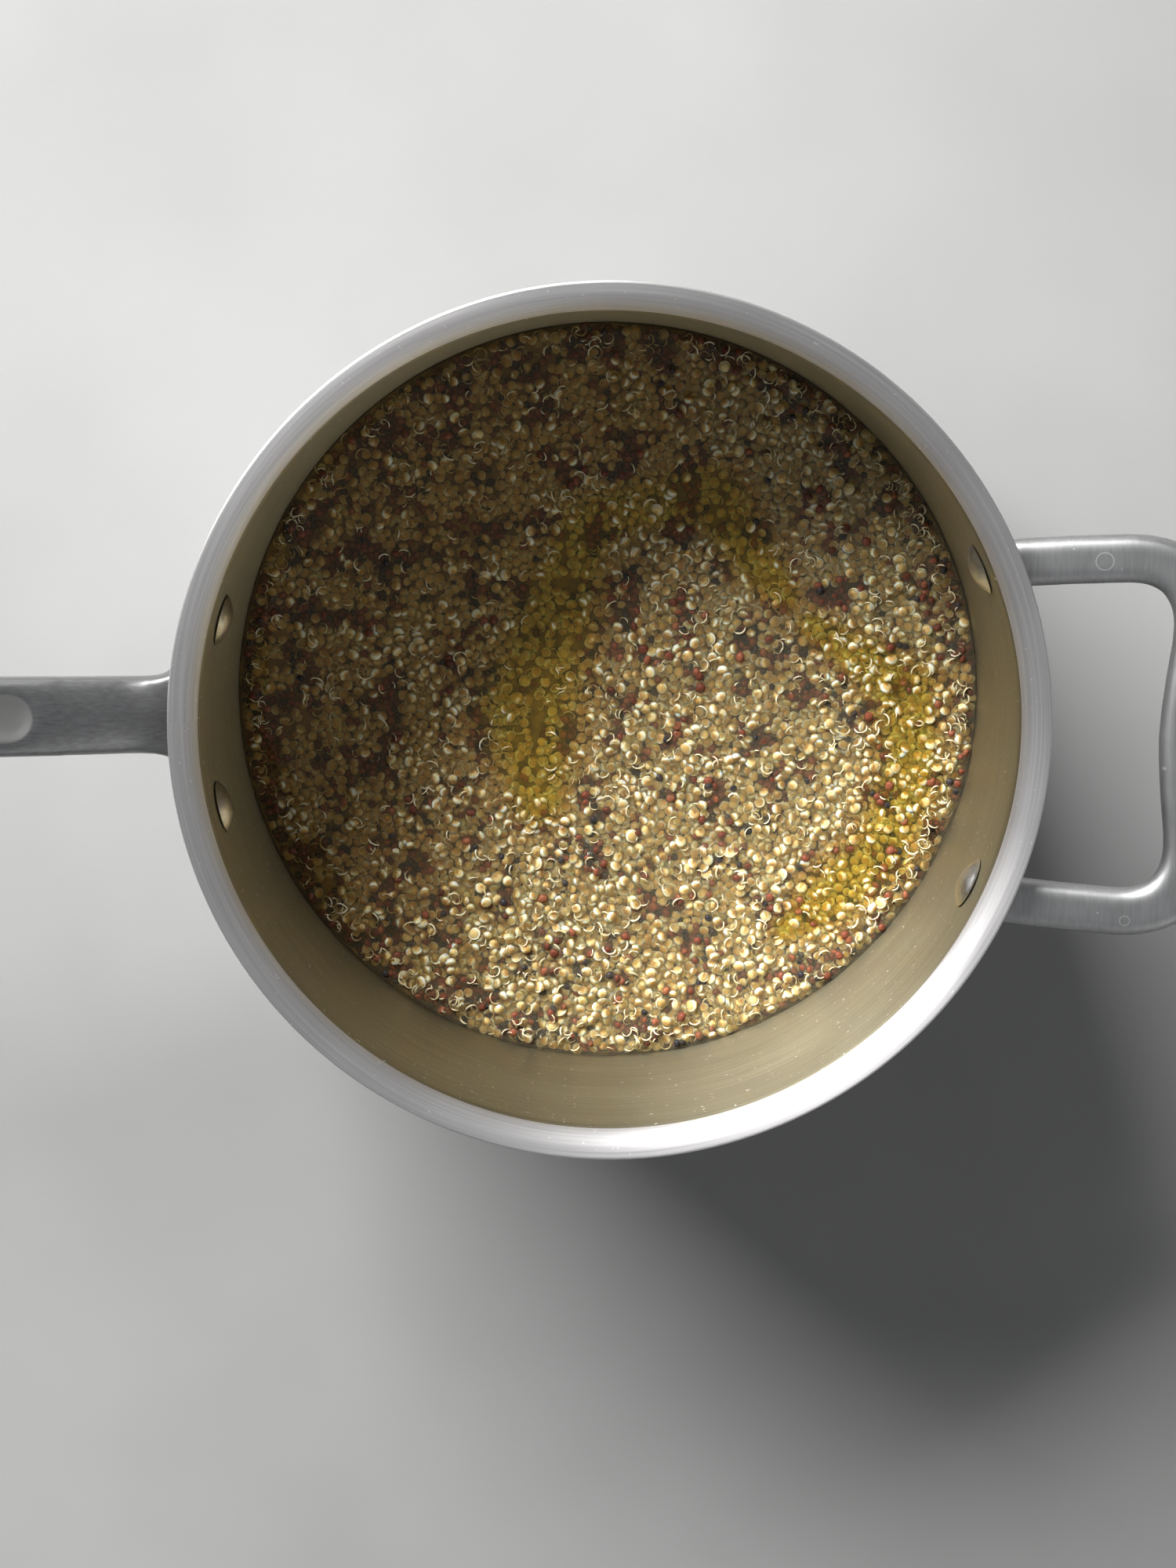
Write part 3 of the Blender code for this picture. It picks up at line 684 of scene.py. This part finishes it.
def mottled(name, scale, detail, dark, light, **sockets):
    """A material whose colour wanders between two tones, given with its tree, shader and noise."""
    material, tree, shader, place = new_material(name, **sockets)
    patches = add_node(tree, "TexNoise", {0: place}, scale=scale, detail=detail)
    wire(shader, Base_Color=add_node(tree, "ValToRGB", {0: patches}, ((0.3, dark), (0.7, light))))
    return material, tree, shader, patches


# cold-headed stainless steel: fine scuffs make the colour and the gloss wander a little
rivet_steel, tree, shader, scuffs = mottled(
    "polished_rivet_steel", 700.0, 4.0, "#C6C6C5", "#DCDCDB", Metallic=1.0)
wire(shader, Roughness=add_node(tree, "MapRange", {0: scuffs}, to_min=0.26, to_max=0.42))
dome_radius = (HEAD_RADIUS**2 + HEAD_HEIGHT**2) / (2 * HEAD_HEIGHT)
dome_edge = math.degrees(math.asin(HEAD_RADIUS / dome_radius))
seat, tail_seat = INNER_RADIUS - HEAD_SEAT, FOOT_OUTER + GAP
profile = arc((0, HEAD_HEIGHT - seat - dome_radius), dome_radius, 88, 90 - dome_edge * 0.97, 10)
profile += [(HEAD_RADIUS, -seat + CHAMFER), (HEAD_RADIUS - CHAMFER, -seat), (SHANK_RADIUS, -seat)]
profile += [(SHANK_RADIUS, -tail_seat), (TAIL_RADIUS, -tail_seat)]
profile += arc((TAIL_RADIUS - TAIL_ROUNDING, -tail_seat - TAIL_HEIGHT + 0.8 * MM),
               TAIL_ROUNDING, 0, -90, 4)
rivet_pattern = raise_rings("rivet_pattern", profile, 40)
for name, degrees in RIVETS.items():
    only(rivet_pattern)
    bpy.ops.object.duplicate()
    rivet = bpy.context.object
    rivet.name = rivet.data.name = "steel_" + name
    rivet.location = UP * RIVET_HEIGHT
    rivet.rotation_euler = UP.rotation_difference(-outward(degrees)).to_euler()
    dress(rivet, rivet_steel, "rivet_steel", name)
bpy.data.objects.remove(rivet_pattern)

# %% [markdown]
# ## The quinoa's core
#
# Only the top few layers of grains can be seen, so everything below them is one solid
# core that fills the pan, a little rough on top. Its colour is painted shade: the dark
# amber of wet grains in deep shade, because it shows only through the gaps.

# %% Core below the grains
FILL_LEVEL = 33.8 * MM
CORE_TOP = FILL_LEVEL - 2.7 * MM
CORE_RADIUS, CORE_RING = INNER_RADIUS - 0.5 * MM, 1.6 * MM

# painted shade: the core's dark amber stands for grains in deep shade
core_in_painted_shade = mottled("quinoa_core_painted_shade", 300.0, 3.0, "#645126", "#A28745", Roughness=0.35, IOR=1.36)[0]
profile = [(20 * MM, BASE + GAP), (60 * MM, BASE + GAP)]
profile += arc((INNER_RADIUS - INNER_CORNER, BASE + INNER_CORNER), INNER_CORNER - 0.5 * MM, -90, 0, 8)
profile += [(CORE_RADIUS, CORE_TOP - 0.6 * MM)]
profile += [(CORE_RADIUS - i * CORE_RING, CORE_TOP) for i in range(61)]
core = raise_rings("quinoa_core", profile, PAN_SIDES)
select_where(core, lambda co: co.z > CORE_TOP - 0.1 * MM)
bpy.ops.transform.vertex_random(offset=0.5 * MM, seed=3)
to_mode("OBJECT")
dress(core, core_in_painted_shade, "cooked_quinoa", "quinoa", smooth_angle=80)

# %% [markdown]
# ## One grain of each shape
#
# Cooked quinoa is a soft, slightly flattened bead. Its germ is a pale thread that runs
# round the edge like a tail and often comes loose as a curl. A grain starts as a small
# sphere, is flattened, dimpled on top and drawn out a little at one side; a germ starts
# as a tiny circle that is spun round an axis for most of a turn, with pinched ends.

# %% Grain and germ patterns
def grain_pattern(name, length, width, thickness, segments, rings):
    """A bead with a flattened dimple on top, made from a sphere."""
    piece = new_primitive(name, bpy.ops.mesh.primitive_uv_sphere_add, segments=segments,
                          ring_count=rings, radius=0.5)
    edit_all(piece)
    bpy.ops.transform.resize(value=(length, width, thickness), center_override=(0, 0, 0))
    select_where(piece, lambda co: co.z > thickness * 0.49)
    bpy.ops.transform.translate(value=(0, 0, -0.10 * thickness))
    select_where(piece, lambda co: co.x > length * 0.40)
    bpy.ops.transform.translate(value=(0.06 * length, 0, 0))
    to_mode("OBJECT")
    return piece


def germ_pattern(name, radius, thread, degrees, steps):
    """A C-shaped thread: a small circle spun round Z, its ends pinched."""
    turn = math.radians(degrees)
    piece = new_primitive(name, bpy.ops.mesh.primitive_circle_add, vertices=4, radius=thread / 2,
                          location=(radius, 0, 0), rotation=(math.pi / 2, 0, 0), fill_type="NGON")
    settle(piece)
    edit_all(piece)
    bpy.ops.mesh.spin(steps=steps, angle=turn, center=(0, 0, 0), axis=(0, 0, 1))
    edit_all(piece)
    bpy.ops.mesh.remove_doubles(threshold=0.001 * MM)
    face_outwards()
    for angle in (0, turn, -turn):
        end = Vector((radius * math.cos(angle), radius * math.sin(angle), 0))
        select_where(piece, lambda co: (co - end).length < thread * 0.62)
        bpy.ops.transform.resize(value=(0.45, 0.45, 0.45))
    to_mode("OBJECT")
    return piece


def as_arrays(piece):
    """A pattern's corners and faces as arrays; the pattern itself is removed."""
    mesh = piece.data
    corners = np.array([v.co for v in mesh.vertices])
    loops = np.array([loop.vertex_index for loop in mesh.loops])
    starts = np.array([face.loop_start for face in mesh.polygons])
    mesh.calc_loop_triangles()
    count = len(mesh.loop_triangles)
    bpy.data.objects.remove(piece)
    return corners, loops, starts, count


PATTERNS = {
    "pale_grain": as_arrays(grain_pattern("pale", 2.95 * MM, 2.75 * MM, 2.0 * MM, 10, 5)),
    "red_grain": as_arrays(grain_pattern("red", 2.55 * MM, 2.4 * MM, 1.9 * MM, 8, 5)),
    "black_grain": as_arrays(grain_pattern("black", 2.05 * MM, 1.95 * MM, 1.7 * MM, 8, 5)),
    "germ_ring": as_arrays(germ_pattern("ring", 1.38 * MM, 0.36 * MM, 290, 9)),
    "germ_curl": as_arrays(germ_pattern("curl", 1.45 * MM, 0.42 * MM, 225, 8)),
}
for name, pattern in PATTERNS.items():
    print(name, "pattern has", pattern[3], "triangles")

# %% [markdown]
# ## Bedding the grains
#
# A physics drop of thousands of grains would take far too long. Instead a height map of
# the bed is kept, and one grain after another settles where the bed is lowest for what
# it should reach: it takes the height and the slope of what lies under it, and raises
# the map there. Red and black grains gather in loose clusters and along the wall, as they
# do when the lighter grains boil past them; slow noise says where. The bed stays lower
# where broth stands open, and a little higher and drier towards the lit side.

# %% Lay of the bed
CELL, CELLS = 0.4 * MM, 501
POOLS = {  # plan points and half widths in mm
    "arch": ((-18, -28, 8), (-22, -5, 15), (-15, 21, 13), (-7, 46, 8),
             (8, 51, 8), (27, 55, 9), (39, 38, 7), (47, 28, 4)),
    "side": ((55, 20, 4), (71, 10, 7), (81, 2, 9), (83, -20, 9),
             (76, -41, 9), (60, -56, 8), (50, -63, 4)),
}
SWELLS, CLUSTERS = (33 * MM, 0), (8 * MM, 5)  # size of the noise, and its layer
BY_WALL_FROM, BY_WALL_OVER = 86 * MM, 8 * MM
axis = (np.arange(CELLS) - CELLS // 2) * CELL
bed_x, bed_y = np.meshgrid(axis, axis, indexing="ij")


def into_pools(x, y, spread):
    """How far inside a pool each place lies: 1 along its middle, 0 outside the spread-out pool."""
    inside = np.zeros(np.shape(x))
    for line in POOLS.values():
        for (x1, y1, w1), (x2, y2, w2) in zip(line, line[1:]):
            run = np.array((x2 - x1, y2 - y1)) * MM
            share = ((x - x1 * MM) * run[0] + (y - y1 * MM) * run[1]) / (run @ run)
            share = np.clip(share, 0, 1)
            apart = np.hypot(x - x1 * MM - share * run[0], y - y1 * MM - share * run[1])
            inside = np.maximum(inside, 1 - apart / ((w1 + (w2 - w1) * share) * MM * spread))
    return np.clip(inside, 0, 1)


def rolling(size, layer):
    """Slow noise over the bed, worked out for every fifth cell and spread over its neighbours."""
    coarse = [[noise.noise(Vector((x / size, y / size, layer))) for y in axis[::5]] for x in axis[::5]]
    return np.repeat(np.repeat(coarse, 5, 0), 5, 1)[:CELLS, :CELLS]


swell, gather = rolling(*SWELLS), rolling(*CLUSTERS)
pools = into_pools(bed_x, bed_y, 1.15)
by_wall = np.clip((np.hypot(bed_x, bed_y) - BY_WALL_FROM) / BY_WALL_OVER, 0, 1)
dark_lots = 1.25 * gather + 0.35 * by_wall - 0.4 * pools
drier = (bed_x - bed_y) / (2 * INNER_RADIUS)  # from -1 to 1 towards the lit side
target = FILL_LEVEL + (-0.3 + 0.7 * swell + 0.7 * drier) * MM - 0.5 * MM * np.sqrt(pools)
print("deepest part of the bed lies", round((FILL_LEVEL - target.min()) / MM, 1),
      "mm below the fill level")

# %% Settle the grains
GRAINS, CURLS, CURLS_AT_WALL = 9000, 1250, 350
PALE_SHARE, PALE_OR_RED_SHARE, RING_SHARE = 0.67, 0.88, 0.24
KINDS = {  # radius, half thickness, and how much more it likes a place where dark grains gather
    "pale_grain": (1.38 * MM, 1.0 * MM, -0.4 * MM), "red_grain": (1.22 * MM, 0.95 * MM, 1.6 * MM),
    "black_grain": (1.0 * MM, 0.85 * MM, 1.6 * MM), "germ_curl": (1.65 * MM, 0.25 * MM, 0)}
draw = np.random.default_rng(5)
bed = np.full((CELLS, CELLS), CORE_TOP)
laid = {name: [] for name in PATTERNS}


def settle_one(kind, bend, tries, from_middle=0.0):
    """Lay one grain where the bed is lowest of a few places, and raise the bed there."""
    radius, half, liking = KINDS[kind]
    reach = (INNER_RADIUS - 0.1 * MM - 1.08 * radius) * np.sqrt(draw.uniform(from_middle, 1, tries))
    angle = draw.random(tries) * 2 * math.pi
    column = np.round(reach * np.cos(angle) / CELL).astype(int) + CELLS // 2
    row = np.round(reach * np.sin(angle) / CELL).astype(int) + CELLS // 2
    best = int(np.argmax((target - bed)[column, row] + liking * dark_lots[column, row]))
    i, j = column[best], row[best]
    w = int(math.ceil(radius / CELL))
    around = slice(i - w, i + w + 1), slice(j - w, j + w + 1)
    patch, dx, dy = bed[around], bed_x[around] - axis[i], bed_y[around] - axis[j]
    apart = np.hypot(dx, dy) / radius
    under = apart < 1
    base = patch[under].mean()
    slope = [(patch * d)[under].sum() / (d**2)[under].sum() for d in (dx, dy)]
    up = np.array((-slope[0], -slope[1], 1.0)) + draw.normal(0, bend, 3) * (1, 1, 0)
    up /= np.linalg.norm(up)
    middle = base + half * 0.55
    top = middle + half * np.sqrt(np.clip(1 - apart**2, 0, 1))
    patch[under] = np.maximum(patch, top)[under]
    shift = draw.uniform(-0.5, 0.5) * CELL, draw.uniform(-0.5, 0.5) * CELL
    return np.array((axis[i] + shift[0], axis[j] + shift[1], middle)), up


for count in range(GRAINS):
    pick = draw.random()
    lot = draw.random() * 2 * math.pi
    draw.random(2)  # not used, but without these two draws each later grain would lie elsewhere
    kind = ("pale_grain" if pick < PALE_SHARE else
            "red_grain" if pick < PALE_OR_RED_SHARE else "black_grain")
    place, up = settle_one(kind, 0.35, 12)
    size = draw.normal(1.0, 0.10)
    laid[kind].append((place, up, lot, size, draw.random()))
    if kind == "pale_grain" and draw.random() < RING_SHARE:
        raised = place + up * draw.normal(0.3 * MM, 0.1 * MM)
        laid["germ_ring"].append((raised, up, lot, size, draw.random()))
for count in range(CURLS + CURLS_AT_WALL):
    place, up = settle_one("germ_curl", 0.6, 1, from_middle=0.0 if count < CURLS else 0.9)
    lot = draw.random() * 2 * math.pi
    laid["germ_curl"].append((place, up, lot, draw.normal(1.0, 0.13), draw.random()))
for name, lot in laid.items():
    print(len(lot), name)
inside_pan = np.hypot(bed_x, bed_y) < 0.97 * INNER_RADIUS
print("the bed ends", round(float((target - bed)[inside_pan].mean()) / MM, 2),
      "mm below what it should reach")


# %% [markdown]
# ## Joining the copies
#
# Thousands of separate objects would be slow to handle, so all grains of a kind become
# one mesh. The pattern's corners are turned and moved for every grain at once with
# arrays. Each grain also gets one random number, kept as an attribute on its corners,
# with which its material makes it a little lighter or darker than its neighbours. A
# second attribute keeps each corner's place on its own grain, so that the material can
# draw the germ as a pale ring round the edge of every pale grain.

# %% Join all grains of a kind
MOST_TRIANGLES = 190000  # in one piece


def joined_copies(name, pattern, lot):
    corners, loops, starts, _ = pattern
    places, ups, turns, sizes, tones = (np.array(column) for column in zip(*lot))
    helper = np.stack([np.cos(turns), np.sin(turns), np.zeros(len(turns))], 1)
    first = helper - ups * np.sum(helper * ups, 1)[:, None]
    first /= np.linalg.norm(first, axis=1)[:, None]
    axes = np.stack([first, np.cross(ups, first), ups], 1) * sizes[:, None, None]
    points = corners[None] @ axes + places[:, None]
    copies = len(lot)
    copy = np.arange(copies)[:, None]
    own = np.tile(corners / np.abs(corners[:, 0]).max(), (copies, 1))
    mesh = bpy.data.meshes.new(name)
    mesh.vertices.add(copies * len(corners))
    mesh.loops.add(copies * len(loops))
    mesh.polygons.add(copies * len(starts))
    for owner, key, values, kind in (
            (mesh.vertices, "co", points, np.float32),
            (mesh.loops, "vertex_index", loops[None] + copy * len(corners), np.int32),
            (mesh.polygons, "loop_start", starts[None] + copy * len(loops), np.int32)):
        owner.foreach_set(key, values.ravel().astype(kind))
    mesh.update(calc_edges=True)
    mesh.validate()
    for attribute, kind, key, values in (("tone", "FLOAT", "value", np.repeat(tones, len(corners))),
                                         ("own_place", "FLOAT_VECTOR", "vector", own)):
        data = mesh.attributes.new(attribute, kind, "POINT").data
        data.foreach_set(key, values.astype(np.float32).ravel())
    piece = bpy.data.objects.new(name, mesh)
    bpy.context.scene.collection.objects.link(piece)
    return piece


def wet_grain(name, *stops, roughness=0.3, germ_ring=False):
    """Cooked grain: starch jelly in a thin skin, wet. The tone attribute picks its colour."""
    material, tree, shader, place = new_material(name, Roughness=roughness, IOR=1.38)
    tone = add_node(tree, "Attribute", attribute_name="tone").outputs["Fac"]
    flecks = add_node(tree, "TexNoise", {0: place}, scale=900.0, detail=2.0)
    mixed = add_node(tree, "Math", {0: flecks, 1: tone}, operation="ADD")
    shade = add_node(tree, "MapRange", {0: mixed}, from_min=0.3, from_max=1.7)
    skin = add_node(tree, "ValToRGB", {0: shade}, stops)
    if germ_ring:  # a pale grain lets light through and shows its germ, a thread round its edge
        own = add_node(tree, "Attribute", attribute_name="own_place").outputs["Vector"]
        parts, flat = in_plan(tree, own)
        edge = add_node(tree, "VectorMath", {0: flat}, operation="LENGTH")
        thread = add_node(tree, "ValToRGB", {0: edge}, (
            (0.62, "#000000"), (0.70, "#FFFFFF"), (0.86, "#FFFFFF"), (0.94, "#303030")))
        angle = add_node(tree, "Math", {0: parts["Y"], 1: parts["X"]}, operation="ARCTAN2")
        turn = add_node(tree, "Math", {0: angle}, operation="ABSOLUTE")
        gap = add_node(tree, "MapRange", {0: turn}, from_min=2.5, from_max=2.2)
        shown = add_node(tree, "Math", {0: thread, 1: gap}, operation="MULTIPLY")
        skin = add_node(tree, "Mix", {0: shown, 6: skin, 7: linear("#F6ECCE")}, data_type="RGBA")
        wire(shader, Subsurface_Weight=1.0, Subsurface_Radius=(1.0, 0.75, 0.4),
             Subsurface_Scale=3.0 * MM)
    wire(shader, Base_Color=skin)
    return material


pale = wet_grain("pale_quinoa", (0.0, "#B9985F"), (0.5, "#D5B47A"), (1.0, "#EACD98"),
                 roughness=0.34, germ_ring=True)
red = wet_grain("red_quinoa", (0.0, "#4E2A1D"), (0.5, "#783F2D"), (1.0, "#9E6243"))
black = wet_grain("black_quinoa", (0.0, "#232126"), (0.6, "#343034"), (1.0, "#463C38"), roughness=0.2)
germ = wet_grain("quinoa_germ", (0.0, "#CEBF92"), (0.5, "#E2D7B2"), (1.0, "#F2EAD2"))
LOOKS = dict(zip(PATTERNS, (pale, red, black, germ, germ)))
for name, lot in laid.items():
    shares = -(-len(lot) * PATTERNS[name][3] // MOST_TRIANGLES)
    for number in range(shares):
        piece = joined_copies(f"{name}s_{number + 1}", PATTERNS[name], lot[number::shares])
        dress(piece, LOOKS[name], "cooked_quinoa", smooth_angle=180)

# %% [markdown]
# ## The broth
#
# The quinoa simmers in a thin yellow broth that stands between the grains and lies open
# in two long pools. Its surface is one closed sheet with faint ripples, lifted over the
# grains that stand out of it, because a film of broth clings to them. Liquid takes its
# colour from depth, so an attribute on the sheet tints the pools more; the same attribute
# also tints the side away from the window a darker amber, partly for the deeper broth
# there and partly as painted shade. Starch makes the broth faintly cloudy, so a little
# less than all light passes through its surface.

# %% Broth
BROTH_LEVEL, BROTH_BOTTOM = FILL_LEVEL - 0.2 * MM, CORE_TOP - 1 * MM
BROTH_RADIUS, BROTH_RING, FILM = INNER_RADIUS - 0.2 * MM, 0.9 * MM, 0.1 * MM

broth_look, tree, shader, place = new_material(
    "clear_yellow_broth", Roughness=0.04, IOR=1.333, Transmission_Weight=0.952)
depth = add_node(tree, "Attribute", attribute_name="depth_and_painted_shade").outputs["Fac"]
drift = add_node(tree, "TexNoise", {0: place}, scale=60.0, detail=2.0)
drifting = add_node(tree, "MapRange", {0: drift}, to_min=-0.15, to_max=0.15)
local = add_node(tree, "Math", {0: depth, 1: drifting}, operation="ADD")
# the middle stop's darker amber, on the side away from the window, is partly deeper broth and partly
# painted shade
wire(shader, Base_Color=add_node(tree, "ValToRGB", {0: local}, (
    (0.0, "#F7E8C4"), (0.45, "#ECD09A"), (1.0, "#F4DC70"))))


def on_top(co):
    return co.z > BROTH_LEVEL - 0.1 * MM and co.xy.length < BROTH_RADIUS - 0.5 * MM


profile = [(4 * MM, BROTH_BOTTOM), (BROTH_RADIUS, BROTH_BOTTOM)]
profile += [(BROTH_RADIUS - i * BROTH_RING, BROTH_LEVEL) for i in range(109)]
broth = raise_rings("broth", profile, 400)
select_where(broth, on_top)
bpy.ops.transform.vertex_random(offset=0.03 * MM, seed=8)
to_mode("OBJECT")
wet = sum(np.roll(bed, (i, j), (0, 1)) for i in (-1, 0, 1) for j in (-1, 0, 1)) / 9 + FILM
for vertex in broth.data.vertices:
    if on_top(vertex.co):
        cell = [min(max(round(v / CELL) + CELLS // 2, 0), CELLS - 1) for v in vertex.co.xy]
        vertex.co.z = max(vertex.co.z, wet[cell[0], cell[1]])
x, y = np.array([vertex.co.xy for vertex in broth.data.vertices]).T
# towards the shade the broth is deeper, and its darker amber there is also painted shade
deeper_broth_and_painted_shade = 0.5 * np.clip((0.5 * y - 0.85 * x) / (60 * MM) + 0.4, 0, 1)  # more towards the shade
depths = np.maximum(deeper_broth_and_painted_shade, np.clip(1.4 * into_pools(x, y, 1.65), 0, 1))
depth_and_painted_shade = broth.data.attributes.new("depth_and_painted_shade", "FLOAT", "POINT")
depth_and_painted_shade.data.foreach_set("value", depths.astype(np.float32))
dress(broth, broth_look, "yellow_broth", "broth_arch", "broth_side", smooth_angle=60)

# %% [markdown]
# ## Floor and light
#
# A plain pale floor, one large soft window of light low on the upper left, a weak light
# from the other side, as from a far wall, and a faint even fill. The low window leaves
# the quinoa below the left wall in shade and lights the far side, as in the photo. Two
# lamps share the window's place: one is hidden from reflections, so that the grains get
# their full light while the glints on the steel stay short of plain white.

# %% Floor and light
WINDOW_WAY, WINDOW_SIZE = (-0.60, 0.84, 0.58), (1.15, 0.95)
LAMP_DISTANCE = 1.7
floor = new_primitive("floor", bpy.ops.mesh.primitive_plane_add, size=30)
floor.data.materials.append(mottled("pale_floor", 8.0, 3.0, "#7E7E7D", "#868685",
                                    Roughness=0.8, Specular_IOR_Level=0.1)[0])


def add_window(name, way, size, watts):
    """A soft rectangle of light that stands this way from the pan and looks at it."""
    lamp = bpy.data.objects.new(name, bpy.data.lights.new(name, "AREA"))
    bpy.context.scene.collection.objects.link(lamp)
    lamp.data.shape = "RECTANGLE"
    lamp.data.size, lamp.data.size_y = size
    lamp.data.energy = watts
    lamp.location = Vector(way).normalized() * LAMP_DISTANCE
    lamp.rotation_euler = Vector(way).to_track_quat("Z", "Y").to_euler()
    return lamp


add_window("window", WINDOW_WAY, WINDOW_SIZE, 64)
add_window("window_on_matt_things", WINDOW_WAY, WINDOW_SIZE, 96).visible_glossy = False
add_window("far_wall_bounce", (0.62, -0.80, 0.62), (1.4, 1.2), 3)
world = bpy.data.worlds.new("soft_room")
world.use_nodes = True
wire(world.node_tree.nodes["Background"], Color=linear("#E9EBEE"), Strength=0.285)
bpy.context.scene.world = world
print("floor and light in place")
